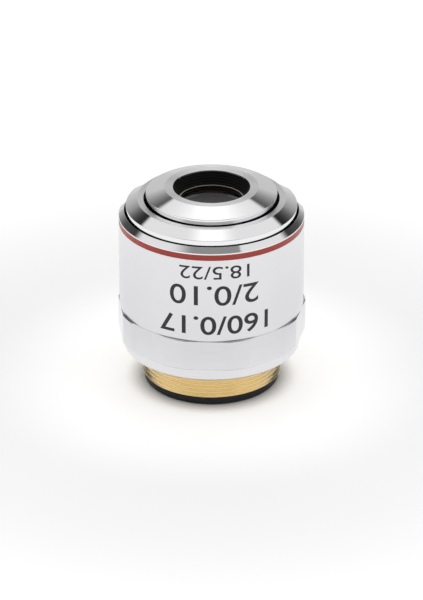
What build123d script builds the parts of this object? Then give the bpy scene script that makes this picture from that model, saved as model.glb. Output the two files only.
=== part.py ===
"""Squat microscope objective with a spring-loaded nose.

It stands nose up on its rear ring. Lengths are in millimetres, and heights run up the optical axis
from the rear face. The mounting thread sets the sleeve's radius, from which the other radii are chained
inwards, and heights are chained from the rear face upwards.
"""

import os
from dataclasses import dataclass
from math import atan, degrees

from build123d import *

os.makedirs("parts", exist_ok=True)

# Fits
thread_fit = 0.05  # radial play in a screwed or dropped-in seat, threads being drawn as plain cylinders
running_fit = 0.05  # radial clearance of the sliding barrel
cement_gap = 0.02  # layer between two cemented lenses
edge_break = 0.12  # small chamfer on outer turned edges

# Rear ring and mounting thread
rear_ring_setback = 0.45
rear_ring_height = 1.45
rear_ring_wall = 1.45
rear_ring_tail_length = 3.0
rear_ring_chamfer = 0.3
spanner_slot_width = 1.5
spanner_slot_depth = 0.8
thread_radius = 12.5
thread_length = 5.25
thread_chamfer = 0.4
mount_wall = 1.4
mount_tail_step = 0.45
mount_seat_depth = 0.1  # how far the thread runs on into the main body
mount_tail_length = 2.0

# Base flange, grip ring and sleeve
flange_height = 2.4
flange_setback = 1.075
flange_chamfer = 0.35
grip_height = 5.75
grip_step = 0.375
grip_flat_count = 9
grip_flat_depth = 0.465
grip_flat_angle = -93.0  # direction of the flat that faces the front, from +X
sleeve_overhang = 3.9  # how far the sleeve stands out past the thread
sleeve_length = 17.95
sleeve_wall = 1.75
sleeve_chamfer_width = 0.9
sleeve_chamfer_height = 0.85
sleeve_lip = 0.05
sleeve_mouth_depth = 2.35
band_width = 1.05
band_depth = 0.25
band_setback = 0.03  # enamel below the surface
band_drop = 1.1  # from the sleeve's front edge down to the band

# Front stop ring
ring_gap = 0.3
ring_standout = 1.0
ring_cone_height = 1.25
ring_cone_width = 2.02
ring_lip_width = 1.13
ring_depth = 2.2  # from the ring's front face down to its stop face
ring_skirt_length = 2.2
ring_thread_step = 0.7
body_end_gap = 0.2

# Main body and return spring
body_wall = 1.65
spring_wire = 0.9
spring_side_gap = 0.625
spring_turns = 4
spring_end_gap = 0.05
spring_grind = 0.3  # taken off each end of the wire
bearing_length = 4.5

# Nose cap
nose_gap = 0.4
nose_standout = 1.1
nose_cone_height = 1.05
nose_cone_width = 3.3
land_width = 1.5
cap_lip = 0.3
cap_roof = 1.9
cap_wall = 0.65
travel = 2.0  # how far the nose retracts

# Lens barrel
barrel_flange_length = 3.0
barrel_wall = 1.0
barrel_lip_height = 0.8
barrel_lip_drop = 0.3
barrel_lip_clearance = 0.1

# Front lens and its cell
front_cell_wall = 1.45
front_cell_margin = 0.1
lens_depth = 2.45  # from the nose's front face down to the lens rim
baffle_taper = 0.95
baffle_steps = 5
front_lens_lap = 0.5
front_lens_edge = 1.2
front_lens_top_bulge = -0.064
front_lens_bottom_bulge = -0.13
retainer_height = 0.5

# Lens seats, shared by all cells
seat_width = 0.5
seat_margin = 0.1
rolled_edge = 0.25

# Stop, spacer and lock ring
spacer_height = 1.2
spacer_wall = 1.5
stop_height = 0.8
stop_wall = 3.75
stop_chamfer = 0.5
lock_ring_height = 1.3
lock_ring_wall = 1.7

# Guide screw
guide_head_radius = 1.0
guide_shank_radius = 0.7
guide_rise = 1.5  # above the barrel's rear end
guide_slot_clearance = 0.06
guide_end_clearance = 0.25
guide_head_setback = 0.7
guide_socket_radius = 0.45
guide_socket_depth = 0.9


@dataclass
class CellDesign:
    """Sizes of one lens cell and of the one or two lenses in it.

    A bulge is how far a surface's middle stands above its edge, as a share of the surface's radius.
    """

    wall: float
    drop: float  # from the cell's top down to the lens rim
    seat: float  # height of the ledge under the lenses
    top_bulge: float
    top_edge: float
    bottom_bulge: float
    join_bulge: float = 0.0
    bottom_edge: float = 0.0


second_design = CellDesign(
    wall=1.85, drop=1.5, seat=0.42, top_bulge=0.124, top_edge=0.96,
    join_bulge=-0.156, bottom_edge=2.0, bottom_bulge=-0.046,
)
third_design = CellDesign(
    wall=2.0, drop=1.0, seat=0.6, top_bulge=0.167, top_edge=0.54,
    join_bulge=-0.121, bottom_edge=1.74, bottom_bulge=-0.018,
)
fourth_design = CellDesign(
    wall=2.15, drop=0.6, seat=0.86, top_bulge=-0.118, top_edge=2.74,
    join_bulge=0.101, bottom_edge=0.78, bottom_bulge=-0.059,
)
rear_design = CellDesign(
    wall=2.3, drop=0.6, seat=0.68, top_bulge=0.057, top_edge=1.32, bottom_bulge=0.017,
)


def pair_seat(design, top):
    """Height of the ledge under a cell's two cemented lenses."""
    return top - design.drop - design.top_edge - cement_gap - design.bottom_edge


# Radii, from the sleeve inwards
sleeve_radius = thread_radius + sleeve_overhang
grip_radius = sleeve_radius + grip_step
flange_radius = grip_radius - flange_setback
sleeve_bore = sleeve_radius - sleeve_wall
mouth_radius = sleeve_radius - sleeve_chamfer_width - sleeve_lip
ring_radius = mouth_radius - ring_gap
ring_lip_radius = ring_radius - ring_cone_width
ring_bore = ring_lip_radius - ring_lip_width
nose_radius = ring_bore - nose_gap
land_radius = nose_radius - nose_cone_width
hole_radius = land_radius - land_width
body_radius = sleeve_bore - thread_fit
body_thread_radius = body_radius - ring_thread_step
guide_bore = body_radius - body_wall
barrel_flange_radius = guide_bore - running_fit
barrel_radius = guide_bore - spring_wire - 2 * spring_side_gap
bearing_bore = barrel_radius + running_fit
barrel_bore = barrel_radius - barrel_wall
cap_thread_bore = nose_radius - cap_wall
neck_radius = cap_thread_bore - thread_fit
cell_radius = barrel_bore - thread_fit
stop_aperture = cell_radius - stop_wall
front_cell_radius = hole_radius + front_cell_wall
rear_ring_radius = thread_radius - rear_ring_setback
mount_bore = thread_radius - mount_wall
mount_tail_radius = thread_radius - mount_tail_step
body_rear_bore = mount_tail_radius + thread_fit
rear_tail_radius = mount_bore - thread_fit
rear_bore = rear_tail_radius - rear_ring_wall

# Heights, from the rear face upwards
shoulder_z = rear_ring_height + thread_length
flange_top_z = shoulder_z + flange_height
grip_top_z = flange_top_z + grip_height
sleeve_top_z = grip_top_z + sleeve_length
mouth_floor_z = sleeve_top_z - sleeve_mouth_depth
ring_wall_z = sleeve_top_z + ring_standout
ring_top_z = ring_wall_z + ring_cone_height
stop_z = ring_top_z - ring_depth
ring_seat_z = stop_z - ring_skirt_length
nose_wall_z = ring_top_z + nose_standout
nose_top_z = nose_wall_z + nose_cone_height
cap_ceiling_z = nose_top_z - cap_roof
front_cell_top_z = nose_top_z - cap_lip
front_rim_z = nose_top_z - lens_depth
front_lens_bottom_z = front_rim_z - front_lens_edge
retainer_bottom_z = front_lens_bottom_z - retainer_height
front_cell_bottom_z = retainer_bottom_z - front_cell_margin
barrel_flange_z = stop_z - barrel_flange_length
second_top_z = stop_z - barrel_lip_drop
second_bottom_z = pair_seat(second_design, second_top_z) - second_design.seat
third_top_z = second_bottom_z - spacer_height
third_bottom_z = pair_seat(third_design, third_top_z) - third_design.seat
fourth_top_z = third_bottom_z - stop_height
fourth_bottom_z = pair_seat(fourth_design, fourth_top_z) - fourth_design.seat
rear_rim_z = fourth_bottom_z - rear_design.drop
rear_seat_z = rear_rim_z - rear_design.top_edge
rear_bottom_z = rear_seat_z - rear_design.seat
barrel_tail_z = rear_bottom_z - lock_ring_height
spring_seat_z = barrel_tail_z + bearing_length
guide_z = barrel_tail_z + guide_rise


def turned(*corners):
    """Half section of a turned piece, from its corners as (radius, height)."""
    with BuildSketch(Plane.XZ) as section:
        with BuildLine():
            Polyline(*corners, close=True)
        make_face()
    return section.sketch


def ring_section(outer, inner, top, bottom):
    """Half section of a plain ring."""
    return turned((inner, bottom), (outer, bottom), (outer, top), (inner, top))


def lens_face(edge_radius, edge_z, bulge):
    """Half of a spherical lens face, from its middle out to its edge."""
    return JernArc(
        start=(0, edge_z + bulge * edge_radius),
        tangent=(1, 0),
        radius=edge_radius * (1 + bulge**2) / abs(2 * bulge),
        arc_size=-2 * degrees(atan(bulge)),
    )


def lens_section(rim, clear, top, top_bulge, bottom, bottom_bulge):
    """Half section of a lens with two spherical faces and a flat edge outside the clear radius."""
    with BuildSketch(Plane.XZ) as section:
        with BuildLine():
            upper = lens_face(clear, top, top_bulge)
            lower = lens_face(clear, bottom, bottom_bulge)
            Polyline(upper @ 1, (rim, top), (rim, bottom), lower @ 1)
            Line(upper @ 0, lower @ 0)
        make_face()
    return section.sketch


def cell_section(design, top, seat_z):
    """Half section of a cell: a seat under the lens, its bore, and the edge rolled over the lens."""
    rim = cell_radius - design.wall
    bore = rim + thread_fit
    lens_top = top - design.drop
    return turned(
        (rim - seat_width, seat_z - design.seat),
        (cell_radius, seat_z - design.seat),
        (cell_radius, top),
        (bore, top),
        (bore, lens_top + rolled_edge),
        (rim - rolled_edge, lens_top + rolled_edge),
        (rim - rolled_edge, lens_top),
        (bore, lens_top),
        (bore, seat_z),
        (rim - seat_width, seat_z),
    )


def spanner_slots(bore, reach, face_z):
    """Two slots in a ring's rear face, from its bore outwards, for a pin spanner."""
    with BuildSketch(Plane.XY.offset(face_z)) as slots:
        with PolarLocations((bore + reach) / 2, 2):
            Rectangle(reach - bore + 2 * edge_break, spanner_slot_width)
    return slots.sketch


def cemented_pair(design, top):
    """Half sections of a cell's two cemented lenses."""
    rim = cell_radius - design.wall
    clear = rim - seat_width - seat_margin
    lens_top = top - design.drop
    join = lens_top - design.top_edge
    seat_z = pair_seat(design, top)
    upper = lens_section(rim, clear, lens_top, design.top_bulge, join, design.join_bulge)
    lower = lens_section(rim, clear, join - cement_gap, design.join_bulge, seat_z, design.bottom_bulge)
    return upper, lower


# Rear ring, with a tail that screws into the mount
with BuildPart() as rear_ring:
    tail_top_z = rear_ring_height + rear_ring_tail_length
    section = turned(
        (rear_bore + rear_ring_chamfer, 0),
        (rear_ring_radius - rear_ring_chamfer, 0),
        (rear_ring_radius, rear_ring_chamfer),
        (rear_ring_radius, rear_ring_height),
        (rear_tail_radius, rear_ring_height),
        (rear_tail_radius, tail_top_z),
        (rear_bore, tail_top_z),
        (rear_bore, rear_ring_chamfer),
    )
    revolve(section, axis=Axis.Z)
    slots = spanner_slots(rear_bore, rear_tail_radius, 0)
    extrude(slots, amount=spanner_slot_depth, mode=Mode.SUBTRACT)
rear_ring.part.label = "rear_ring"
export_step(rear_ring.part, "parts/rear_ring.step")

# Mount with the male thread, whose tail screws into the main body
mount_seat_z = shoulder_z + mount_seat_depth
with BuildPart() as threaded_mount:
    section = turned(
        (mount_bore, rear_ring_height),
        (thread_radius - thread_chamfer, rear_ring_height),
        (thread_radius, rear_ring_height + thread_chamfer),
        (thread_radius, mount_seat_z),
        (mount_tail_radius, mount_seat_z),
        (mount_tail_radius, shoulder_z + mount_tail_length),
        (mount_bore, shoulder_z + mount_tail_length),
    )
    revolve(section, axis=Axis.Z)
threaded_mount.part.label = "threaded_mount"
export_step(threaded_mount.part, "parts/threaded_mount.step")

# Direction and middle of the guide screw's slot, on the back of the objective
guide_plane = Plane(origin=(0, 0, guide_z), x_dir=(0, 0, 1), z_dir=(0, 1, 0))
guide_slot_length = travel + 2 * (guide_end_clearance - guide_slot_clearance)

# Main body: base flange, bearing bore, spring chamber and the thread under the front ring
with BuildPart() as main_body:
    mount_socket_radius = thread_radius + thread_fit
    section = turned(
        (mount_socket_radius, shoulder_z),
        (flange_radius - flange_chamfer, shoulder_z),
        (flange_radius, shoulder_z + flange_chamfer),
        (flange_radius, flange_top_z),
        (body_radius, flange_top_z),
        (body_radius, ring_seat_z),
        (body_thread_radius, ring_seat_z),
        (body_thread_radius, stop_z - body_end_gap),
        (guide_bore, stop_z - body_end_gap),
        (guide_bore, spring_seat_z),
        (bearing_bore, spring_seat_z),
        (bearing_bore, flange_top_z),
        (body_rear_bore, flange_top_z),
        (body_rear_bore, mount_seat_z),
        (mount_socket_radius, mount_seat_z),
    )
    revolve(section, axis=Axis.Z)
    with BuildSketch(guide_plane):
        with Locations((-travel / 2, 0)):
            SlotCenterToCenter(guide_slot_length, 2 * (guide_head_radius + guide_slot_clearance))
    extrude(amount=sleeve_radius, mode=Mode.SUBTRACT)
main_body.part.label = "main_body"
export_step(main_body.part, "parts/main_body.step")

# Grip ring: a turned ring with flats milled round it, clamped between the base flange and the sleeve
with BuildPart() as grip_ring:
    with BuildSketch(Plane.XY.offset(flange_top_z)):
        Circle(grip_radius)
        with PolarLocations(grip_radius - grip_flat_depth, grip_flat_count, start_angle=grip_flat_angle):
            Rectangle(grip_radius, grip_radius, align=(Align.MIN, Align.CENTER), mode=Mode.SUBTRACT)
        Circle(sleeve_bore, mode=Mode.SUBTRACT)
    extrude(amount=grip_height)
    end_faces = grip_ring.faces().filter_by(Axis.Z)
    chamfer([edge for face in end_faces for edge in face.outer_wire().edges()], length=edge_break)
grip_ring.part.label = "grip_ring"
export_step(grip_ring.part, "parts/grip_ring.step")

# Outer sleeve, with the front chamfer, the band's groove and the recess round the stop ring
band_top_z = sleeve_top_z - band_drop
with BuildPart() as outer_sleeve:
    section = turned(
        (sleeve_bore, grip_top_z),
        (sleeve_radius - edge_break, grip_top_z),
        (sleeve_radius, grip_top_z + edge_break),
        (sleeve_radius, band_top_z - band_width),
        (sleeve_radius - band_depth, band_top_z - band_width),
        (sleeve_radius - band_depth, band_top_z),
        (sleeve_radius, band_top_z),
        (sleeve_radius, sleeve_top_z - sleeve_chamfer_height),
        (mouth_radius + sleeve_lip, sleeve_top_z),
        (mouth_radius, sleeve_top_z),
        (mouth_radius, mouth_floor_z),
        (sleeve_bore, mouth_floor_z),
    )
    revolve(section, axis=Axis.Z)
outer_sleeve.part.label = "outer_sleeve"
export_step(outer_sleeve.part, "parts/outer_sleeve.step")

# Enamel in the sleeve's groove
with BuildPart() as colour_band:
    band_radius = sleeve_radius - band_setback
    groove_radius = sleeve_radius - band_depth
    revolve(ring_section(band_radius, groove_radius, band_top_z, band_top_z - band_width), axis=Axis.Z)
colour_band.part.label = "colour_band"
export_step(colour_band.part, "parts/colour_band.step")

# Front stop ring, screwed over the main body: its inner face holds the nose in
with BuildPart() as front_stop_ring:
    ring_thread_bore = body_thread_radius + thread_fit
    section = turned(
        (ring_bore, ring_top_z),
        (ring_lip_radius, ring_top_z),
        (ring_radius, ring_wall_z),
        (ring_radius, ring_seat_z),
        (ring_thread_bore, ring_seat_z),
        (ring_thread_bore, stop_z),
        (ring_bore, stop_z),
    )
    revolve(section, axis=Axis.Z)
front_stop_ring.part.label = "front_stop_ring"
export_step(front_stop_ring.part, "parts/front_stop_ring.step")

# Return spring: closed end turns, open turns between them, and both ends ground flat
with BuildPart() as return_spring:
    end_pitch = spring_wire + spring_end_gap
    first_z = spring_seat_z + spring_wire / 2 - spring_grind
    last_z = barrel_flange_z - spring_wire / 2 + spring_grind
    open_height = last_z - first_z - 2 * end_pitch
    spring_radius = (barrel_radius + guide_bore) / 2
    with BuildLine() as coil:
        Helix(end_pitch, end_pitch, spring_radius, center=(0, 0, first_z))
        Helix(open_height / spring_turns, open_height, spring_radius, center=(0, 0, first_z + end_pitch))
        Helix(end_pitch, end_pitch, spring_radius, center=(0, 0, last_z - end_pitch))
    with BuildSketch(Plane(origin=coil.line @ 0, z_dir=coil.line % 0)):
        Circle(spring_wire / 2)
    sweep(is_frenet=True)
    with Locations((0, 0, spring_seat_z)):
        Cylinder(guide_bore, spring_wire, align=(Align.CENTER, Align.CENTER, Align.MAX), mode=Mode.SUBTRACT)
    with Locations((0, 0, barrel_flange_z)):
        Cylinder(guide_bore, spring_wire, align=(Align.CENTER, Align.CENTER, Align.MIN), mode=Mode.SUBTRACT)
return_spring.part.label = "return_spring"
export_step(return_spring.part, "parts/return_spring.step")

# Nose cap: front cone and land, a seat for the front cell and a skirt screwed over the barrel's neck
with BuildPart() as nose_cap:
    cell_bore = front_cell_radius + thread_fit
    section = turned(
        (hole_radius, nose_top_z),
        (land_radius, nose_top_z),
        (nose_radius, nose_wall_z),
        (nose_radius, stop_z),
        (cap_thread_bore, stop_z),
        (cap_thread_bore, cap_ceiling_z),
        (cell_bore, cap_ceiling_z),
        (cell_bore, front_cell_top_z),
        (hole_radius, front_cell_top_z),
    )
    revolve(section, axis=Axis.Z)
nose_cap.part.label = "nose_cap"
export_step(nose_cap.part, "parts/nose_cap.step")

# Front cell: its opening narrows in steps, which trap stray light, down to the front lens
front_aperture = hole_radius - baffle_taper
front_rim_radius = front_aperture + front_lens_lap
step_drop = (front_cell_top_z - front_rim_z) / baffle_steps
step_width = baffle_taper / (baffle_steps - 1)
baffle = []
for step in range(baffle_steps):
    step_radius = hole_radius - step * step_width
    baffle.append((step_radius, front_cell_top_z - step * step_drop))
    baffle.append((step_radius, front_cell_top_z - (step + 1) * step_drop))
with BuildPart() as front_cell:
    section = turned(
        *baffle,
        (front_rim_radius + thread_fit, front_rim_z),
        (front_rim_radius + thread_fit, front_cell_bottom_z),
        (front_cell_radius, front_cell_bottom_z),
        (front_cell_radius, front_cell_top_z),
    )
    revolve(section, axis=Axis.Z)
front_cell.part.label = "front_cell"
export_step(front_cell.part, "parts/front_cell.step")

# Front lens, hollow in front and bulging behind, and the ring that holds it in its cell
with BuildPart() as front_lens:
    section = lens_section(
        front_rim_radius,
        front_aperture - seat_margin,
        front_rim_z,
        front_lens_top_bulge,
        front_lens_bottom_z,
        front_lens_bottom_bulge,
    )
    revolve(section, axis=Axis.Z)
front_lens.part.label = "front_lens"
export_step(front_lens.part, "parts/front_lens.step")

with BuildPart() as front_lens_retainer:
    revolve(
        ring_section(front_rim_radius, front_aperture, front_lens_bottom_z, retainer_bottom_z), axis=Axis.Z
    )
front_lens_retainer.part.label = "front_lens_retainer"
export_step(front_lens_retainer.part, "parts/front_lens_retainer.step")

# Lens barrel: neck, running flange, tube with an inner lip for the lens stack, and the guide screw's hole
with BuildPart() as lens_barrel:
    lip_bore = front_cell_radius + barrel_lip_clearance
    section = turned(
        (neck_radius, cap_ceiling_z),
        (neck_radius, stop_z),
        (barrel_flange_radius, stop_z),
        (barrel_flange_radius, barrel_flange_z),
        (barrel_radius, barrel_flange_z),
        (barrel_radius, barrel_tail_z),
        (barrel_bore, barrel_tail_z),
        (barrel_bore, second_top_z),
        (lip_bore, second_top_z),
        (lip_bore, second_top_z + barrel_lip_height),
        (barrel_bore, second_top_z + barrel_lip_height),
        (barrel_bore, cap_ceiling_z),
    )
    revolve(section, axis=Axis.Z)
    with BuildSketch(guide_plane):
        Circle(guide_shank_radius + thread_fit)
    extrude(amount=sleeve_radius, mode=Mode.SUBTRACT)
lens_barrel.part.label = "lens_barrel"
export_step(lens_barrel.part, "parts/lens_barrel.step")

# The three cemented pairs, each in its own cell
cemented_groups = (
    ("second", second_design, second_top_z),
    ("third", third_design, third_top_z),
    ("fourth", fourth_design, fourth_top_z),
)
for name, design, top_z in cemented_groups:
    with BuildPart() as cell:
        revolve(cell_section(design, top_z, pair_seat(design, top_z)), axis=Axis.Z)
    cell.part.label = f"{name}_cell"
    export_step(cell.part, f"parts/{name}_cell.step")

    upper_section, lower_section = cemented_pair(design, top_z)
    with BuildPart() as upper_lens:
        revolve(upper_section, axis=Axis.Z)
    upper_lens.part.label = f"{name}_upper_lens"
    export_step(upper_lens.part, f"parts/{name}_upper_lens.step")

    with BuildPart() as lower_lens:
        revolve(lower_section, axis=Axis.Z)
    lower_lens.part.label = f"{name}_lower_lens"
    export_step(lower_lens.part, f"parts/{name}_lower_lens.step")

# Spacer between the second and third cells
with BuildPart() as front_spacer:
    revolve(
        ring_section(cell_radius, cell_radius - spacer_wall, second_bottom_z, third_top_z), axis=Axis.Z
    )
front_spacer.part.label = "front_spacer"
export_step(front_spacer.part, "parts/front_spacer.step")

# Aperture stop, a disc whose hole is bevelled to a thin edge
with BuildPart() as aperture_stop:
    section = turned(
        (stop_aperture, third_bottom_z),
        (cell_radius, third_bottom_z),
        (cell_radius, fourth_top_z),
        (stop_aperture + stop_chamfer, fourth_top_z),
    )
    revolve(section, axis=Axis.Z)
aperture_stop.part.label = "aperture_stop"
export_step(aperture_stop.part, "parts/aperture_stop.step")

# Rear lens and its cell
rear_rim = cell_radius - rear_design.wall
with BuildPart() as rear_lens:
    section = lens_section(
        rear_rim,
        rear_rim - seat_width - seat_margin,
        rear_rim_z,
        rear_design.top_bulge,
        rear_seat_z,
        rear_design.bottom_bulge,
    )
    revolve(section, axis=Axis.Z)
rear_lens.part.label = "rear_lens"
export_step(rear_lens.part, "parts/rear_lens.step")

with BuildPart() as rear_cell:
    revolve(cell_section(rear_design, fourth_bottom_z, rear_seat_z), axis=Axis.Z)
rear_cell.part.label = "rear_cell"
export_step(rear_cell.part, "parts/rear_cell.step")

# Lock ring that holds the lens stack up against the barrel's lip
with BuildPart() as rear_lock_ring:
    lock_bore = cell_radius - lock_ring_wall
    revolve(ring_section(cell_radius, lock_bore, rear_bottom_z, barrel_tail_z), axis=Axis.Z)
    slots = spanner_slots(lock_bore, (lock_bore + cell_radius) / 2, barrel_tail_z)
    extrude(slots, amount=spanner_slot_depth, mode=Mode.SUBTRACT)
rear_lock_ring.part.label = "rear_lock_ring"
export_step(rear_lock_ring.part, "parts/rear_lock_ring.step")

# Guide screw: its shank sits in the barrel's wall and its head runs in the main body's slot
with BuildPart() as guide_screw:
    with BuildSketch(guide_plane.offset(barrel_bore + thread_fit)):
        Circle(guide_shank_radius)
    extrude(amount=barrel_wall - thread_fit)
    with BuildSketch(guide_plane.offset(barrel_radius)):
        Circle(guide_head_radius)
    extrude(amount=body_radius - guide_head_setback - barrel_radius)
    with BuildSketch(guide_plane.offset(body_radius - guide_head_setback)):
        RegularPolygon(guide_socket_radius, 6)
    extrude(amount=-guide_socket_depth, mode=Mode.SUBTRACT)
guide_screw.part.label = "guide_screw"
export_step(guide_screw.part, "parts/guide_screw.step")
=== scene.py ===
"""Looks of the microscope objective: turned pieces, a cut thread, numbers, materials, light and camera.

Lengths are in millimetres up to the meshes, which are made in metres like the frame.
"""

from math import acos, ceil, cos, hypot, pi, radians, sin, tan

import bmesh
import bpy
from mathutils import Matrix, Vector


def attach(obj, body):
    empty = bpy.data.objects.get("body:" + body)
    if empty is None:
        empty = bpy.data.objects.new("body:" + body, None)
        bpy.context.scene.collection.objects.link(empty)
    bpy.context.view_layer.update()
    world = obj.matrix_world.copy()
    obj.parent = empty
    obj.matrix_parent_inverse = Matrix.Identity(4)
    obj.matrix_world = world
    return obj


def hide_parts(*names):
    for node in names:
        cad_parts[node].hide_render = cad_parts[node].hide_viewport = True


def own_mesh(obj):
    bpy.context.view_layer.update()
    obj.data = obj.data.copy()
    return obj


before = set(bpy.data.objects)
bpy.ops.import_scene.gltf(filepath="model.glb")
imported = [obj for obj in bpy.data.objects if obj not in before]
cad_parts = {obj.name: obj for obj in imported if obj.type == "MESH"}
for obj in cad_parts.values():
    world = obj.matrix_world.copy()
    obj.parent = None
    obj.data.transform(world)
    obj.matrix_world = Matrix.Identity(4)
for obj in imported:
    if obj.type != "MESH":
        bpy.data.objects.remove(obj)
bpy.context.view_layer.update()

MM = 0.001
ROUND = 256  # facets round a turned piece

# Radii and heights of the pieces, in millimetres. The cut of the thread is only here, not in the solid.
MOUNT_BORE = 11.1
THREAD_RADIUS = 12.5
THREAD_PITCH = 0.75
THREAD_DEPTH = 0.46
THREAD_LEAD_IN = 0.4
MOUNT_TAIL_RADIUS = 12.05
MOUNT_BOTTOM = 1.45
SHOULDER = 6.7
MOUNT_SEAT = 6.8
MOUNT_TOP = 8.7
FLANGE_TOP = 9.1
FLANGE_RADIUS = 15.7
FLANGE_CHAMFER = 0.35
GRIP_TOP = 14.85
GRIP_RADIUS = 16.775
GRIP_FLATS = 9
GRIP_FLAT_DEPTH = 0.465
GRIP_FLAT_ANGLE = -93.0
GRIP_FLAT_EASE = 0.6
SLEEVE_RADIUS = 16.4
SLEEVE_BORE = 14.65
SLEEVE_TOP = 32.8
MOUTH_RADIUS = 15.45
MOUTH_FLOOR = 30.45
CHAMFER_BOTTOM = 31.95
LIP_RADIUS = 15.5
GROOVE_DEPTH = 0.25
GROOVE_FLOOR = SLEEVE_RADIUS - GROOVE_DEPTH
BAND_TOP = 31.7
BAND_BOTTOM = 30.65
BODY_RADIUS = 14.6
GUIDE_BORE = 12.95
SPRING_SEAT = 17.35
BEARING_BORE = 10.85
BODY_REAR_BORE = 12.1
BODY_FRONT_RADIUS = 13.9
BODY_TOP = 32.65
STOP = 32.85
RING_SEAT = 30.65
RING_TOP = 35.05
RING_WALL_TOP = 33.8
RING_RADIUS = 15.15
RING_LAND_RADIUS = 13.13
RING_SEAT_BORE = 13.95
STOP_BORE = 12.0
NOSE_TOP = 37.2
HOLE_RADIUS = 6.8
NOSE_WALL_TOP = 36.15
CAP_CEILING = 35.3
CAP_RADIUS = 11.6
CAP_BORE = 10.95
LAND_RADIUS = 8.3
CELL_SEAT_RADIUS = 8.3
CELL_TOP = 36.9
CELL_RADIUS = 8.25
CELL_BORE = 6.4
CELL_BOTTOM = 32.95
LENS_RIM = 34.75
LENS_BOTTOM = 33.55
LENS_RADIUS = 6.35
LENS_CLEAR = 5.65
LENS_TOP_BULGE = -0.064
LENS_BOTTOM_BULGE = -0.13
REAR_RADIUS = 12.05
REAR_BORE = 9.6
REAR_SEAT_RADIUS = 11.05
REAR_TOP = 4.45
REAR_CHAMFER = 0.3

# Where the polish gives way to inner faces painted near black as shade in the gaps, and the margins that tell
# faces apart
CAP_POLISH_BOTTOM = 33.8
RING_POLISH_BOTTOM = 32.5
RING_BORE_POLISH_BOTTOM = 33.7
MOUTH_POLISH_BOTTOM = 32.4
NEAR = 0.01
LAND_MARGIN = 0.001

# Eased corners: the largest share of an edge that one takes, and how far out the next points stand
EASE_SHARE = 0.3
EASE_REACH = 1.4

MARK_SHARE = 0.6  # share of the tool marks in a metal's colour and roughness, the rest being mottle
STREAK_RADIUS = 1.5  # radius of a turn in the noise: the larger, the shorter the streaks
DUST_SIZE = 0.5  # millimetres
DUST_DETAIL = 5.0
DUST_ROUGHNESS = 0.05


def add(tree, kind, inputs=None, **settings):
    """Adds a shader node, with its settings, and its inputs as values or links."""
    made = tree.nodes.new(kind)
    for key, value in settings.items():
        setattr(made, key, value)
    for key, value in (inputs or {}).items():
        if isinstance(value, bpy.types.NodeSocket):
            tree.links.new(value, made.inputs[key])
        else:
            made.inputs[key].default_value = value
    return made


def maths(tree, operation, *values):
    """A math node's result, from numbers or sockets."""
    inputs = dict(enumerate(values))
    return add(tree, "ShaderNodeMath", inputs, operation=operation).outputs[0]


def ramp(tree, value, low, high, start=0.0, end=1.0, smooth=True):
    """Maps a value from one range to another, held within it, with soft ends unless smooth is off."""
    kind = "SMOOTHSTEP" if smooth else "LINEAR"
    inputs = {"Value": value, "From Min": low, "From Max": high, "To Min": start, "To Max": end}
    return add(tree, "ShaderNodeMapRange", inputs, interpolation_type=kind).outputs[0]


def blank_material(name):
    """A material with only its output and one Principled shader."""
    made = bpy.data.materials.new(name)
    made.use_nodes = True
    tree = made.node_tree
    tree.nodes.clear()
    shader = add(tree, "ShaderNodeBsdfPrincipled")
    add(tree, "ShaderNodeOutputMaterial", {"Surface": shader.outputs[0]})
    return made, tree, shader


def turning(tree, fine, streak):
    """Noise drawn out round the axis, as by a lathe, from its lines per millimetre and a turn's radius."""
    place = add(tree, "ShaderNodeSeparateXYZ", {0: add(tree, "ShaderNodeTexCoord").outputs["Object"]})
    x, y, z = place.outputs
    squares = maths(tree, "ADD", maths(tree, "MULTIPLY", x, x), maths(tree, "MULTIPLY", y, y))
    radius = maths(tree, "SQRT", squares)
    along = add(
        tree,
        "ShaderNodeCombineXYZ",
        {
            0: maths(tree, "MULTIPLY", radius, fine / MM),
            1: maths(tree, "MULTIPLY", z, fine / MM),
            2: maths(tree, "MULTIPLY", maths(tree, "DIVIDE", x, radius), streak),
        },
    )
    turn = maths(tree, "MULTIPLY", maths(tree, "DIVIDE", y, radius), streak)
    inputs = {"Vector": along.outputs[0], "W": turn, "Scale": 1.0, "Detail": 2.0, "Roughness": 0.6}
    return add(tree, "ShaderNodeTexNoise", inputs, noise_dimensions="4D").outputs["Fac"]


def cloud(tree, size, detail=3.0):
    """Plain noise with features of about the given size in millimetres."""
    place = add(tree, "ShaderNodeTexCoord").outputs["Object"]
    inputs = {"Vector": place, "Scale": 1 / (size * MM), "Detail": detail}
    return add(tree, "ShaderNodeTexNoise", inputs).outputs["Fac"]


def tinted(tree, fac, low, high):
    """A colour between two, by a factor."""
    made = add(tree, "ShaderNodeMix", {"Factor": fac}, data_type="RGBA")
    made.inputs[6].default_value = (*low, 1)
    made.inputs[7].default_value = (*high, 1)
    return made.outputs[2]


def bump(tree, height, depth):
    """A normal from a height factor, with its full depth in millimetres."""
    return add(tree, "ShaderNodeBump", {"Height": height, "Strength": 1.0, "Distance": depth * MM}).outputs[0]


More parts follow.
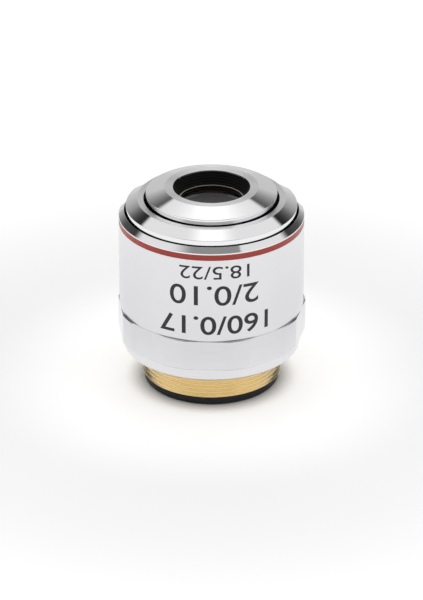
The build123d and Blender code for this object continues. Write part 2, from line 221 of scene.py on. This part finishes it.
def metal(name, low, high, roughness, fine, depth, anisotropic=0.0, mottle=6.0):
    """Turned metal: fine tool marks in colour, roughness and height over a slow mottle."""
    made, tree, shader = blank_material(name)
    marks = turning(tree, fine, STREAK_RADIUS)
    slow = cloud(tree, mottle)
    marked = maths(tree, "MULTIPLY", marks, MARK_SHARE)
    mixed = maths(tree, "ADD", marked, maths(tree, "MULTIPLY", slow, 1 - MARK_SHARE))
    tree.links.new(tinted(tree, mixed, low, high), shader.inputs["Base Color"])
    tree.links.new(ramp(tree, mixed, 0.3, 0.7, roughness * 0.9, roughness * 1.1), shader.inputs["Roughness"])
    tree.links.new(bump(tree, marks, depth), shader.inputs["Normal"])
    shader.inputs["Metallic"].default_value = 1.0
    if anisotropic:
        shader.inputs["Anisotropic"].default_value = anisotropic
        shader.inputs["Anisotropic Rotation"].default_value = 0.25
        tangent = add(tree, "ShaderNodeTangent", direction_type="RADIAL", axis="Z")
        tree.links.new(tangent.outputs[0], shader.inputs["Tangent"])
    return made


def coat(name, low, high, roughness, grain, depth, gloss=0.0, shine=0.5):
    """A paint, anodised or blackened surface with a fine grain, also used for painted shade."""
    made, tree, shader = blank_material(name)
    fine = cloud(tree, grain)
    tree.links.new(tinted(tree, fine, low, high), shader.inputs["Base Color"])
    tree.links.new(ramp(tree, fine, 0.3, 0.7, roughness * 0.85, roughness * 1.15), shader.inputs["Roughness"])
    tree.links.new(bump(tree, fine, depth), shader.inputs["Normal"])
    shader.inputs["Coat Weight"].default_value = gloss
    shader.inputs["Specular IOR Level"].default_value = shine
    return made


def glass(name, low, high, index, shine):
    """Polished, tinted glass, with faint dust in its colour and roughness."""
    made, tree, shader = blank_material(name)
    dust = cloud(tree, DUST_SIZE, DUST_DETAIL)
    tree.links.new(tinted(tree, dust, low, high), shader.inputs["Base Color"])
    tree.links.new(ramp(tree, dust, 0.4, 0.8, 0.0, DUST_ROUGHNESS), shader.inputs["Roughness"])
    shader.inputs["IOR"].default_value = index
    shader.inputs["Transmission Weight"].default_value = 1.0
    shader.inputs["Specular IOR Level"].default_value = shine
    return made


# Metals: darker and lighter colour, roughness, marks per millimetre and their depth in millimetres
satin = metal("satin_chrome", (0.76, 0.76, 0.78), (0.85, 0.85, 0.86), 0.30, 4.0, 0.0012, anisotropic=0.3)
milled = metal("milled_chrome", (0.70, 0.70, 0.72), (0.81, 0.81, 0.82), 0.18, 3.0, 0.0012)
polished = metal("polished_chrome", (0.82, 0.82, 0.83), (0.86, 0.86, 0.87), 0.07, 8.0, 0.0001)
faced = metal("faced_chrome", (0.90, 0.90, 0.91), (0.95, 0.95, 0.96), 0.34, 8.0, 0.0002, anisotropic=0.85)
brass = metal("turned_brass", (0.87, 0.68, 0.37), (0.96, 0.80, 0.49), 0.20, 6.0, 0.0006, mottle=2.5)
steel = metal("drawn_steel", (0.45, 0.45, 0.46), (0.62, 0.62, 0.63), 0.30, 5.0, 0.0006)

# Coats: darker and lighter colour, roughness, and the size and depth of the grain in millimetres
# Painted shade: near-black faces inside the pieces and deep in the gaps between the nose, stop ring and
# sleeve
painted_shade_inner = coat("painted_shade_inner", (0.010, 0.010, 0.011), (0.022, 0.022, 0.024), 0.55, 0.20, 0.002)
anodised = coat("black_anodised", (0.006, 0.006, 0.007), (0.014, 0.014, 0.015), 0.42, 0.15, 0.001, shine=0.3)
baffled = coat("matt_black", (0.004, 0.004, 0.004), (0.010, 0.010, 0.010), 0.60, 0.12, 0.001, shine=0.2)
blackened = coat("blackened_brass", (0.020, 0.018, 0.016), (0.045, 0.040, 0.034), 0.40, 0.30, 0.001)
enamel = coat("red_enamel", (0.44, 0.030, 0.018), (0.54, 0.044, 0.024), 0.34, 0.60, 0.0008, gloss=0.15)
ink = coat("black_paint", (0.012, 0.012, 0.016), (0.030, 0.030, 0.036), 0.45, 0.12, 0.0005)
ground_glass = coat("ground_glass", (0.50, 0.46, 0.36), (0.70, 0.65, 0.52), 0.60, 0.12, 0.003)

# Glasses: darker and lighter tint, refractive index and specular level
# The coated glass's dark tint is painted shade: it darkens what is seen through the lens inside the objective
coated_painted_shade_glass = glass("coated_glass", (0.16, 0.13, 0.12), (0.20, 0.165, 0.15), 1.45, 0.02)
crown = glass("crown_glass", (0.60, 0.56, 0.54), (0.68, 0.62, 0.60), 1.52, 0.15)
flint = glass("flint_glass", (0.60, 0.55, 0.52), (0.68, 0.62, 0.58), 1.65, 0.15)


def eased(corners, radius, steps=4):
    """A closed outline with its corners rounded. A corner is (x, y), or (x, y, radius) for one of its own."""
    points = []
    count = len(corners)
    for i, corner in enumerate(corners):
        here = Vector(corner[:2])
        own = corner[2] if len(corner) > 2 else radius
        back = Vector(corners[i - 1][:2]) - here
        ahead = Vector(corners[(i + 1) % count][:2]) - here
        if own == 0:
            points.append(here)
            continue
        room = EASE_SHARE * min(back.length, ahead.length)
        reach = min(own / tan(back.angle(ahead) / 2), room)
        back.normalize()
        ahead.normalize()
        points.append(here + back * reach * EASE_REACH)
        for k in range(steps + 1):
            t = k / steps
            points.append(here + back * reach * (1 - t) ** 2 + ahead * reach * t**2)
        points.append(here + ahead * reach * EASE_REACH)
    return points


def piece(name, verts, faces, body, node, materials, choose=None):
    """A smooth mesh from points in millimetres, riding on a body and standing for a CAD node."""
    mesh = bpy.data.meshes.new(name)
    mesh.from_pydata([(x * MM, y * MM, z * MM) for x, y, z in verts], [], faces)
    work = bmesh.new()
    work.from_mesh(mesh)
    bmesh.ops.remove_doubles(work, verts=work.verts, dist=1e-8)
    bmesh.ops.recalc_face_normals(work, faces=work.faces)
    for face in work.faces:
        face.smooth = True
        if choose:
            middle = face.calc_center_median() / MM
            face.material_index = choose(hypot(middle.x, middle.y), middle.z)
    work.to_mesh(mesh)
    work.free()
    for material in materials:
        mesh.materials.append(material)
    made = bpy.data.objects.new(name, mesh)
    bpy.context.scene.collection.objects.link(made)
    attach(made, body)
    if node:
        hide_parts(node)
    return made


def lathe(name, outline, body, node, materials, choose=None):
    """A turned piece, from its closed half outline as (radius, height)."""
    verts = []
    for point in outline:
        for j in range(ROUND):
            turn = 2 * pi * j / ROUND
            verts.append((point.x * cos(turn), point.x * sin(turn), point.y))
    faces = []
    count = len(outline)
    for i in range(count):
        k = (i + 1) % count
        if outline[i].x == 0 and outline[k].x == 0:
            continue
        for j in range(ROUND):
            n = (j + 1) % ROUND
            quad = [i * ROUND + j, i * ROUND + n, k * ROUND + n, k * ROUND + j]
            if outline[i].x == 0:
                quad.pop(1)
            elif outline[k].x == 0:
                quad.pop(2)
            faces.append(quad)
    return piece(name, verts, faces, body, node, materials, choose)


def cut(target, cutter):
    """Takes the cutter's form out of a piece, and removes the cutter."""
    change = target.modifiers.new("cut", "BOOLEAN")
    change.object = cutter
    change.solver = "EXACT"
    changed = target.evaluated_get(bpy.context.evaluated_depsgraph_get())
    result = bpy.data.meshes.new_from_object(changed)
    target.modifiers.clear()
    old = target.data
    target.data = result
    bpy.data.meshes.remove(old)
    bpy.data.objects.remove(cutter)


def block(low, high):
    """A plain block as a cutter, between two corners in millimetres."""
    mesh = bpy.data.meshes.new("cutter")
    work = bmesh.new()
    bmesh.ops.create_cube(work, size=1.0)
    for vert in work.verts:
        vert.co = Vector([(a + b) / 2 + c * (b - a) for a, b, c in zip(low, high, vert.co)]) * MM
    work.to_mesh(mesh)
    work.free()
    made = bpy.data.objects.new("cutter", mesh)
    bpy.context.scene.collection.objects.link(made)
    return made


def cap_material(r, z):
    """The nose cap's material at a face: 1 painted shade inside and deep in the gap, 2 faced on the land,
    else 0 polished.
    """
    chamber = r < CAP_BORE + 3 * NEAR and z < CAP_CEILING + NEAR
    seat = r < CELL_SEAT_RADIUS + NEAR and z < CELL_TOP + NEAR
    if z < CAP_POLISH_BOTTOM or chamber or seat:
        return 1
    return 2 if z > NOSE_TOP - LAND_MARGIN else 0


# Nose: cap with its cone and land
lathe(
    "nose_cap_polished",
    eased(
        [
            (HOLE_RADIUS, NOSE_TOP, 0.06), (LAND_RADIUS, NOSE_TOP, 0.04), (CAP_RADIUS, NOSE_WALL_TOP, 0.12),
            (CAP_RADIUS, CAP_POLISH_BOTTOM, 0), (CAP_RADIUS, STOP), (CAP_BORE, STOP), (CAP_BORE, CAP_CEILING),
            (CELL_SEAT_RADIUS, CAP_CEILING), (CELL_SEAT_RADIUS, CELL_TOP), (HOLE_RADIUS, CELL_TOP),
        ],
        0.05,
    ),
    "nose", "nose_cap", [polished, painted_shade_inner, faced], cap_material,
)

# Front cell with its baffle steps, which end at the lens
baffle_steps = 5
step_in = 0.2375
step_down = 0.43
steps = []
for level in range(baffle_steps):
    steps.append((HOLE_RADIUS - level * step_in, CELL_TOP - level * step_down))
    steps.append((HOLE_RADIUS - level * step_in, CELL_TOP - (level + 1) * step_down))
cell_outline = [
    *steps, (CELL_BORE, LENS_RIM), (CELL_BORE, CELL_BOTTOM),
    (CELL_RADIUS, CELL_BOTTOM), (CELL_RADIUS, CELL_TOP),
]
lathe("front_cell_baffle", eased(cell_outline, 0.02, 2), "nose", "front_cell", [baffled])


def lens_outline(rim, clear, top, top_bulge, bottom, bottom_bulge, rings=12):
    """Half outline of a lens with two spherical faces and a flat edge."""

    def surface(edge, bulge):
        curve = clear * (1 + bulge**2) / (2 * bulge)
        found = []
        for k in range(rings + 1):
            r = clear * k / rings
            drop = abs(curve) - (curve**2 - r**2) ** 0.5
            found.append(Vector((r, edge + bulge * clear - (drop if bulge > 0 else -drop))))
        return found

    upper, lower = surface(top, top_bulge), surface(bottom, bottom_bulge)
    return [*upper, Vector((rim, top)), Vector((rim, bottom)), *reversed(lower)]


# Front lens with its ground rim
lathe(
    "front_lens_glass",
    lens_outline(LENS_RADIUS, LENS_CLEAR, LENS_RIM, LENS_TOP_BULGE, LENS_BOTTOM, LENS_BOTTOM_BULGE),
    "nose", "front_lens", [coated_painted_shade_glass, ground_glass],
    lambda r, z: 1 if r > LENS_CLEAR else 0,
)


def ring_material(r, z):
    """The stop ring's material at a face: 1 painted shade inside and deep in the gaps, 2 faced on the land,
    else 0 polished.
    """
    bore = r < STOP_BORE + NEAR and z < RING_BORE_POLISH_BOTTOM
    seat = r < RING_RADIUS - 5 * NEAR and z < STOP + NEAR
    if z < RING_POLISH_BOTTOM or bore or seat:
        return 1
    return 2 if z > RING_TOP - LAND_MARGIN else 0


# Front stop ring
lathe(
    "front_stop_ring_polished",
    eased(
        [
            (STOP_BORE, RING_TOP, 0.05), (RING_LAND_RADIUS, RING_TOP, 0.04),
            (RING_RADIUS, RING_WALL_TOP, 0.10), (RING_RADIUS, RING_POLISH_BOTTOM, 0),
            (RING_RADIUS, RING_SEAT),
            (RING_SEAT_BORE, RING_SEAT), (RING_SEAT_BORE, STOP), (STOP_BORE, STOP),
            (STOP_BORE, RING_BORE_POLISH_BOTTOM, 0),
        ],
        0.05,
    ),
    "housing", "front_stop_ring", [polished, painted_shade_inner, faced], ring_material,
)


def sleeve_material(r, z):
    """The sleeve's material at a face: 2 painted shade deep in the mouth, 1 polished above the band, else 0
    satin.
    """
    if r < MOUTH_RADIUS + NEAR / 5 and z < MOUTH_POLISH_BOTTOM:
        return 2
    return 1 if z > BAND_TOP + NEAR else 0


# Sleeve, with its satin wall and polished front chamfer
joint_edge = 0.12
lathe(
    "outer_sleeve_satin",
    eased(
        [
            (SLEEVE_BORE, GRIP_TOP), (SLEEVE_RADIUS - joint_edge, GRIP_TOP, 0.03),
            (SLEEVE_RADIUS, GRIP_TOP + joint_edge, 0.05), (SLEEVE_RADIUS, BAND_BOTTOM, 0.03),
            (GROOVE_FLOOR, BAND_BOTTOM), (GROOVE_FLOOR, BAND_TOP), (SLEEVE_RADIUS, BAND_TOP, 0.03),
            (SLEEVE_RADIUS, CHAMFER_BOTTOM, 0.08), (LIP_RADIUS, SLEEVE_TOP, 0.02),
            (MOUTH_RADIUS, SLEEVE_TOP, 0.02),
            (MOUTH_RADIUS, MOUTH_FLOOR), (SLEEVE_BORE, MOUTH_FLOOR),
        ],
        0.02,
    ),
    "housing", "outer_sleeve", [satin, polished, painted_shade_inner], sleeve_material,
)
band_drop = 0.03
band_face = SLEEVE_RADIUS - band_drop
band_outline = [
    (GROOVE_FLOOR, BAND_BOTTOM, 0), (band_face, BAND_BOTTOM, 0.05), (band_face, BAND_TOP, 0.05),
    (GROOVE_FLOOR, BAND_TOP, 0),
]
lathe("colour_band_enamel", eased(band_outline, 0.05), "housing", "colour_band", [enamel])


def grip_outline(arc_parts=18):
    """Outline of the grip ring seen from above: arcs between flats, with the flats' edges just eased."""
    flat = GRIP_RADIUS - GRIP_FLAT_DEPTH
    half = acos(flat / GRIP_RADIUS)
    step = 2 * pi / GRIP_FLATS
    arc = step - 2 * half
    corners = []
    for k in range(GRIP_FLATS):
        middle = radians(GRIP_FLAT_ANGLE) + k * step
        for turn in (middle - half, middle + half):
            corners.append((GRIP_RADIUS * cos(turn), GRIP_RADIUS * sin(turn), GRIP_FLAT_EASE))
        for n in range(1, arc_parts):
            turn = middle + half + arc * n / arc_parts
            corners.append((GRIP_RADIUS * cos(turn), GRIP_RADIUS * sin(turn), 0))
    return corners


def flatted_ring(spacing=0.4, lower_edge=0.25, upper_edge=0.12):
    """The grip ring: its outline drawn along the wall, with eased top and bottom edges and a round bore."""
    outline = eased(grip_outline(), 0)
    filled = []
    for i, point in enumerate(outline):
        following = outline[(i + 1) % len(outline)]
        parts = max(1, ceil((following - point).length / spacing))
        for n in range(parts):
            filled.append(point.lerp(following, n / parts))
    wall = eased(
        [
            (SLEEVE_BORE, FLANGE_TOP, 0), (GRIP_RADIUS - lower_edge, FLANGE_TOP, 0.04),
            (GRIP_RADIUS, FLANGE_TOP + lower_edge, 0.06), (GRIP_RADIUS, GRIP_TOP - upper_edge, 0.06),
            (GRIP_RADIUS - upper_edge, GRIP_TOP, 0.04), (SLEEVE_BORE, GRIP_TOP, 0),
        ],
        0.05,
    )
    verts, faces = [], []
    count, rings = len(filled), len(wall)
    for corner in wall:
        for point in filled:
            here = SLEEVE_BORE if corner.x <= SLEEVE_BORE else point.length - (GRIP_RADIUS - corner.x)
            spot = point.normalized() * here
            verts.append((spot.x, spot.y, corner.y))
    for i in range(rings):
        k = (i + 1) % rings
        for j in range(count):
            n = (j + 1) % count
            faces.append([i * count + j, i * count + n, k * count + n, k * count + j])
    return verts, faces


grip_verts, grip_faces = flatted_ring()
piece("grip_ring_milled", grip_verts, grip_faces, "housing", "grip_ring", [milled])

# Main body: the base flange shows, and the guide screw's slot is cut at the back
play = 0.05
relief = THREAD_RADIUS + play
body = lathe(
    "main_body_satin",
    eased(
        [
            (relief, SHOULDER, 0.03), (FLANGE_RADIUS - FLANGE_CHAMFER, SHOULDER, 0.04),
            (FLANGE_RADIUS, SHOULDER + FLANGE_CHAMFER, 0.06), (FLANGE_RADIUS, FLANGE_TOP, 0.05),
            (BODY_RADIUS, FLANGE_TOP), (BODY_RADIUS, RING_SEAT), (BODY_FRONT_RADIUS, RING_SEAT),
            (BODY_FRONT_RADIUS, BODY_TOP), (GUIDE_BORE, BODY_TOP), (GUIDE_BORE, SPRING_SEAT),
            (BEARING_BORE, SPRING_SEAT), (BEARING_BORE, FLANGE_TOP), (BODY_REAR_BORE, FLANGE_TOP),
            (BODY_REAR_BORE, MOUNT_SEAT), (relief, MOUNT_SEAT),
        ],
        0.03, 3,
    ),
    "housing", "main_body", [satin],
)
slot_half, slot_low, slot_high, past_wall = 1.06, 11.1, 15.6, 20
cut(body, block((-slot_half, 0, slot_low), (slot_half, past_wall, slot_high)))

# Thread: rows of points that follow the helix, held within the mount's ends
rows_per_turn = 16
flank, crest = 1.25, 0.14
first = -rows_per_turn
last = ceil((MOUNT_SEAT - MOUNT_BOTTOM) / THREAD_PITCH * rows_per_turn)
row_count = last - first + 1
thread_verts, thread_faces = [], []
for row in range(first, last + 1):
    phase = (row / rows_per_turn) % 1
    depth = THREAD_DEPTH * min(1.0, max(0.0, abs(phase - 0.5) * 2 * flank - crest))
    for j in range(ROUND):
        turn = j / ROUND
        free = MOUNT_BOTTOM + THREAD_PITCH * (row / rows_per_turn + turn)
        z = min(MOUNT_SEAT, max(MOUNT_BOTTOM, free))
        radius = min(THREAD_RADIUS - depth, THREAD_RADIUS - THREAD_LEAD_IN + z - MOUNT_BOTTOM)
        thread_verts.append((radius * cos(2 * pi * turn), radius * sin(2 * pi * turn), z))
for i in range(row_count - 1):
    for j in range(ROUND - 1):
        a = i * ROUND + j
        thread_faces.append([a, a + 1, a + ROUND + 1, a + ROUND])
    # The seam joins the end of one row to the start of the row a turn higher
    a = i * ROUND + ROUND - 1
    b = (i + rows_per_turn) * ROUND
    if i + rows_per_turn + 1 < row_count:
        thread_faces.append([a, b, b + ROUND, a + ROUND])
offset = len(thread_verts)
inner = [
    (THREAD_RADIUS - THREAD_LEAD_IN, MOUNT_BOTTOM), (MOUNT_BORE, MOUNT_BOTTOM), (MOUNT_BORE, MOUNT_TOP),
    (MOUNT_TAIL_RADIUS, MOUNT_TOP), (MOUNT_TAIL_RADIUS, MOUNT_SEAT), (THREAD_RADIUS, MOUNT_SEAT),
]
for r, z in inner:
    for j in range(ROUND):
        thread_verts.append((r * cos(2 * pi * j / ROUND), r * sin(2 * pi * j / ROUND), z))
for i in range(len(inner) - 1):
    for j in range(ROUND):
        a, n = offset + i * ROUND + j, offset + i * ROUND + (j + 1) % ROUND
        thread_faces.append([a, n, n + ROUND, a + ROUND])
piece("threaded_mount_cut", thread_verts, thread_faces, "housing", "threaded_mount", [brass])

# Rear ring, with its two spanner slots
rear = lathe(
    "rear_ring_anodised",
    eased(
        [
            (REAR_BORE + REAR_CHAMFER, 0, 0.04), (REAR_RADIUS - REAR_CHAMFER, 0, 0.05),
            (REAR_RADIUS, REAR_CHAMFER, 0.06), (REAR_RADIUS, MOUNT_BOTTOM, 0.04),
            (REAR_SEAT_RADIUS, MOUNT_BOTTOM), (REAR_SEAT_RADIUS, REAR_TOP), (REAR_BORE, REAR_TOP),
            (REAR_BORE, REAR_CHAMFER),
        ],
        0.03,
    ),
    "housing", "rear_ring", [anodised],
)
spanner_in, spanner_out, spanner_half, spanner_top = 9.48, 11.17, 0.75, 0.8
cut(rear, block((-spanner_out, -spanner_half, -1), (-spanner_in, spanner_half, spanner_top)))
cut(rear, block((spanner_in, -spanner_half, -1), (spanner_out, spanner_half, spanner_top)))

# Return spring: a round wire wound with closed, ground ends
wire_radius = 0.45
coil_radius = 11.875
coil_low, coil_high = SPRING_SEAT, 29.85
end_offset = 0.15
end_pitch = 0.95
around, along_turn, turns = 16, 72, 6
start_z, end_z = coil_low + end_offset, coil_high - end_offset
open_pitch = (end_z - start_z - 2 * end_pitch) / (turns - 2)
spring_verts, spring_faces = [], []
for i in range(turns * along_turn + 1):
    turn = i / along_turn
    if turn < 1:
        z = start_z + end_pitch * turn
    elif turn < turns - 1:
        z = start_z + end_pitch + open_pitch * (turn - 1)
    else:
        z = end_z - end_pitch * (turns - turn)
    for k in range(around):
        side = 2 * pi * k / around
        r = coil_radius + wire_radius * cos(side)
        height = min(coil_high, max(coil_low, z + wire_radius * sin(side)))
        spring_verts.append((r * cos(2 * pi * turn), r * sin(2 * pi * turn), height))
for i in range(turns * along_turn):
    for k in range(around):
        a, n = i * around + k, i * around + (k + 1) % around
        spring_faces.append([a, n, n + around, a + around])
spring_faces.append(list(range(around)))
spring_faces.append([turns * along_turn * around + k for k in range(around)])
spring = piece(
    "return_spring_wire", spring_verts, spring_faces, "housing", "return_spring", [steel],
)
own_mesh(spring)

NUMBER_LEAN = 1.9  # degrees that the numbers stand to the right of the front
PAINT = 0.012  # thickness of the paint in millimetres
NUMBER_EDGE = 0.4  # longest edge that still follows the sleeve's curve


def number(name, words, low, high, width, weight):
    """Plain numbers painted on the sleeve, upside down as the objective stands, between two heights."""
    text = bpy.data.curves.new(name, "FONT")
    text.body = words
    text.offset = weight
    source = bpy.data.objects.new(name, text)
    bpy.context.scene.collection.objects.link(source)
    bpy.context.view_layer.update()
    written = source.evaluated_get(bpy.context.evaluated_depsgraph_get())
    mesh = bpy.data.meshes.new_from_object(written)
    bpy.data.objects.remove(source)
    work = bmesh.new()
    work.from_mesh(mesh)
    bpy.data.meshes.remove(mesh)
    left, right = min(v.co.x for v in work.verts), max(v.co.x for v in work.verts)
    bottom, top = min(v.co.y for v in work.verts), max(v.co.y for v in work.verts)
    for vert in work.verts:
        across = -((vert.co.x - left) / (right - left) - 0.5) * width
        height = high - (vert.co.y - bottom) / (top - bottom) * (high - low)
        vert.co = (across, height, 0)
    bmesh.ops.triangulate(work, faces=work.faces)
    for _ in range(4):
        long = [edge for edge in work.edges if edge.calc_length() > NUMBER_EDGE]
        if long:
            bmesh.ops.subdivide_edges(work, edges=long, cuts=1)
            bmesh.ops.triangulate(work, faces=work.faces)
    skin = SLEEVE_RADIUS + PAINT
    verts = []
    work.verts.index_update()
    for vert in work.verts:
        turn = vert.co.x / skin + radians(NUMBER_LEAN)
        verts.append((skin * sin(turn), -skin * cos(turn), vert.co.y))
    faces = [[v.index for v in face.verts] for face in work.faces]
    work.free()
    return piece(name, verts, faces, "housing", None, [ink])


number("numbers_rear", "160/0.17", 16.2, 19.8, 20.1, 0.010)
number("numbers_middle", "2/0.10", 21.9, 25.7, 16.1, 0.006)
number("numbers_front", "18.5/22", 27.0, 29.5, 12.5, 0.003)

# Materials of the CAD nodes that show as they are
looks = {
    "front_lens_retainer": baffled, "lens_barrel": blackened, "second_cell": baffled,
    "second_upper_lens": crown, "second_lower_lens": flint, "front_spacer": baffled, "third_cell": baffled,
    "third_upper_lens": crown, "third_lower_lens": flint, "aperture_stop": baffled, "fourth_cell": baffled,
    "fourth_upper_lens": flint, "fourth_lower_lens": crown, "rear_cell": baffled, "rear_lens": coated_painted_shade_glass,
    "rear_lock_ring": anodised, "guide_screw": steel,
}
for node, look in looks.items():
    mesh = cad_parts[node].data
    mesh.materials.clear()
    mesh.materials.append(look)

# Floor: plain matt white, which also glows for camera, glossy and transmitted rays, but not right at the
# foot. The glow is painted light shaped round the object, and is weak enough for the shadow to show.
floor_mesh = bpy.data.meshes.new("floor")
half_size = 0.20
floor_corners = [(x * half_size, y * half_size, 0) for x, y in ((-1, -1), (1, -1), (1, 1), (-1, 1))]
floor_mesh.from_pydata(floor_corners, [], [[0, 1, 2, 3]])
floor_object = bpy.data.objects.new("floor", floor_mesh)
bpy.context.scene.collection.objects.link(floor_object)
paper = bpy.data.materials.new("floor_paper")
paper.use_nodes = True
tree = paper.node_tree
tree.nodes.clear()
place = add(tree, "ShaderNodeTexCoord").outputs["Object"]
away = add(tree, "ShaderNodeVectorMath", {0: place}, operation="LENGTH").outputs["Value"]
path = add(tree, "ShaderNodeLightPath")
direct = maths(tree, "MAXIMUM", path.outputs["Is Camera Ray"], path.outputs["Is Glossy Ray"])
seen = maths(tree, "MAXIMUM", direct, path.outputs["Is Transmission Ray"])
# Painted light and shade round the object: the glow rises from the foot, falls a little as a painted
# ring of shade and rises again, by metres from the axis
near_glow = ramp(tree, away, 0.0116, 0.0160, 0.0, 0.47)
painted_shade_fall = ramp(tree, away, 0.022, 0.045, 0.0, 0.16)
far_glow = ramp(tree, away, 0.045, 0.110, 0.0, 0.20)
white = maths(tree, "ADD", maths(tree, "SUBTRACT", near_glow, painted_shade_fall), far_glow)
diffuse = add(tree, "ShaderNodeBsdfDiffuse", {"Color": (0.88, 0.88, 0.88, 1)})
glow = add(tree, "ShaderNodeEmission", {"Strength": maths(tree, "MULTIPLY", white, seen)})
both = add(tree, "ShaderNodeAddShader", {0: diffuse.outputs[0], 1: glow.outputs[0]})
add(tree, "ShaderNodeOutputMaterial", {"Surface": both.outputs[0]})
floor_mesh.materials.append(paper)


def up(angle):
    """Height on the unit sphere of an elevation in degrees."""
    return sin(radians(angle))


def product(tree, first, *others):
    """The product of several values."""
    result = first
    for other in others:
        result = maths(tree, "MULTIPLY", result, other)
    return result


def blend(tree, fac, zero, one):
    """Goes from one value to another by a factor."""
    rest = maths(tree, "SUBTRACT", 1.0, fac)
    return maths(tree, "ADD", maths(tree, "MULTIPLY", fac, one), maths(tree, "MULTIPLY", rest, zero))


# World: a white tent overhead and at both sides. It is open high up on the camera's side, and darker behind
# the object and round the camera. The camera itself sees plain white.
world = bpy.data.worlds.new("studio")
bpy.context.scene.world = world
world.use_nodes = True
tree = world.node_tree
tree.nodes.clear()
direction = add(tree, "ShaderNodeSeparateXYZ", {0: add(tree, "ShaderNodeTexCoord").outputs["Generated"]})
x, y, z = direction.outputs
side = maths(tree, "ARCTAN2", x, maths(tree, "MULTIPLY", y, -1))
turn = maths(tree, "ABSOLUTE", side)
# Angles are in degrees: sideways from the camera's direction, and upwards from the horizon
front_hole = product(
    tree,
    ramp(tree, side, radians(-75), radians(-35)),
    ramp(tree, side, radians(56), radians(53)),
    ramp(tree, z, up(74), up(68)),
)
overhead = product(tree, ramp(tree, z, up(39.5), up(43)), maths(tree, "SUBTRACT", 1.0, front_hole))
sideways = maths(
    tree, "MAXIMUM",
    ramp(tree, side, radians(38), radians(42)),
    ramp(tree, side, radians(-47), radians(-58)),
)
beside = product(
    tree, sideways,
    ramp(tree, turn, radians(118), radians(108)),
    ramp(tree, z, up(4), up(14)),
    ramp(tree, z, up(48), up(43)),
)
tent = maths(tree, "MAXIMUM", overhead, beside)
behind_level = product(
    tree,
    ramp(tree, z, up(22), up(41), 0.64, 0.06, smooth=False),
    ramp(tree, turn, radians(132), radians(165), 0.12, 1.0),
)
before_level = ramp(tree, z, up(28), up(50), 0.48, 0.30)
behind = ramp(tree, turn, radians(80), radians(100))
dark_level = blend(tree, behind, before_level, behind_level)
# The tent is brightest in the middle and dims towards the sides
tent_level = maths(tree, "SUBTRACT", 1.30, ramp(tree, maths(tree, "ABSOLUTE", x), 0.02, 0.30, 0.0, 0.42))
studio = blend(tree, tent, dark_level, tent_level)
below = ramp(tree, z, -0.02, 0.0, 1.0, 0.0)
ground_level = 0.7
lit = blend(tree, below, studio, ground_level)
camera_ray = add(tree, "ShaderNodeLightPath").outputs["Is Camera Ray"]
level = blend(tree, camera_ray, lit, 1.0)
background = add(tree, "ShaderNodeBackground", {"Color": (1, 1, 1, 1), "Strength": level})
add(tree, "ShaderNodeOutputWorld", {"Surface": background.outputs[0]})

# Camera: looks down at the photograph's angle, from far off with a long lens
elevation = radians(26.8)
aim = Vector((0, 0, 14.8)) * MM
distance = 714 * MM
camera_data = bpy.data.cameras.new("camera")
camera_data.lens = 240
camera_data.sensor_width = 36
camera_data.clip_start = 0.05
camera_data.clip_end = 10
camera = bpy.data.objects.new("camera", camera_data)
camera.location = aim + Vector((0, -cos(elevation), sin(elevation))) * distance
camera.rotation_euler = (pi / 2 - elevation, 0, 0)
bpy.context.scene.collection.objects.link(camera)
bpy.context.scene.camera = camera
bpy.context.scene.view_settings.view_transform = "Standard"
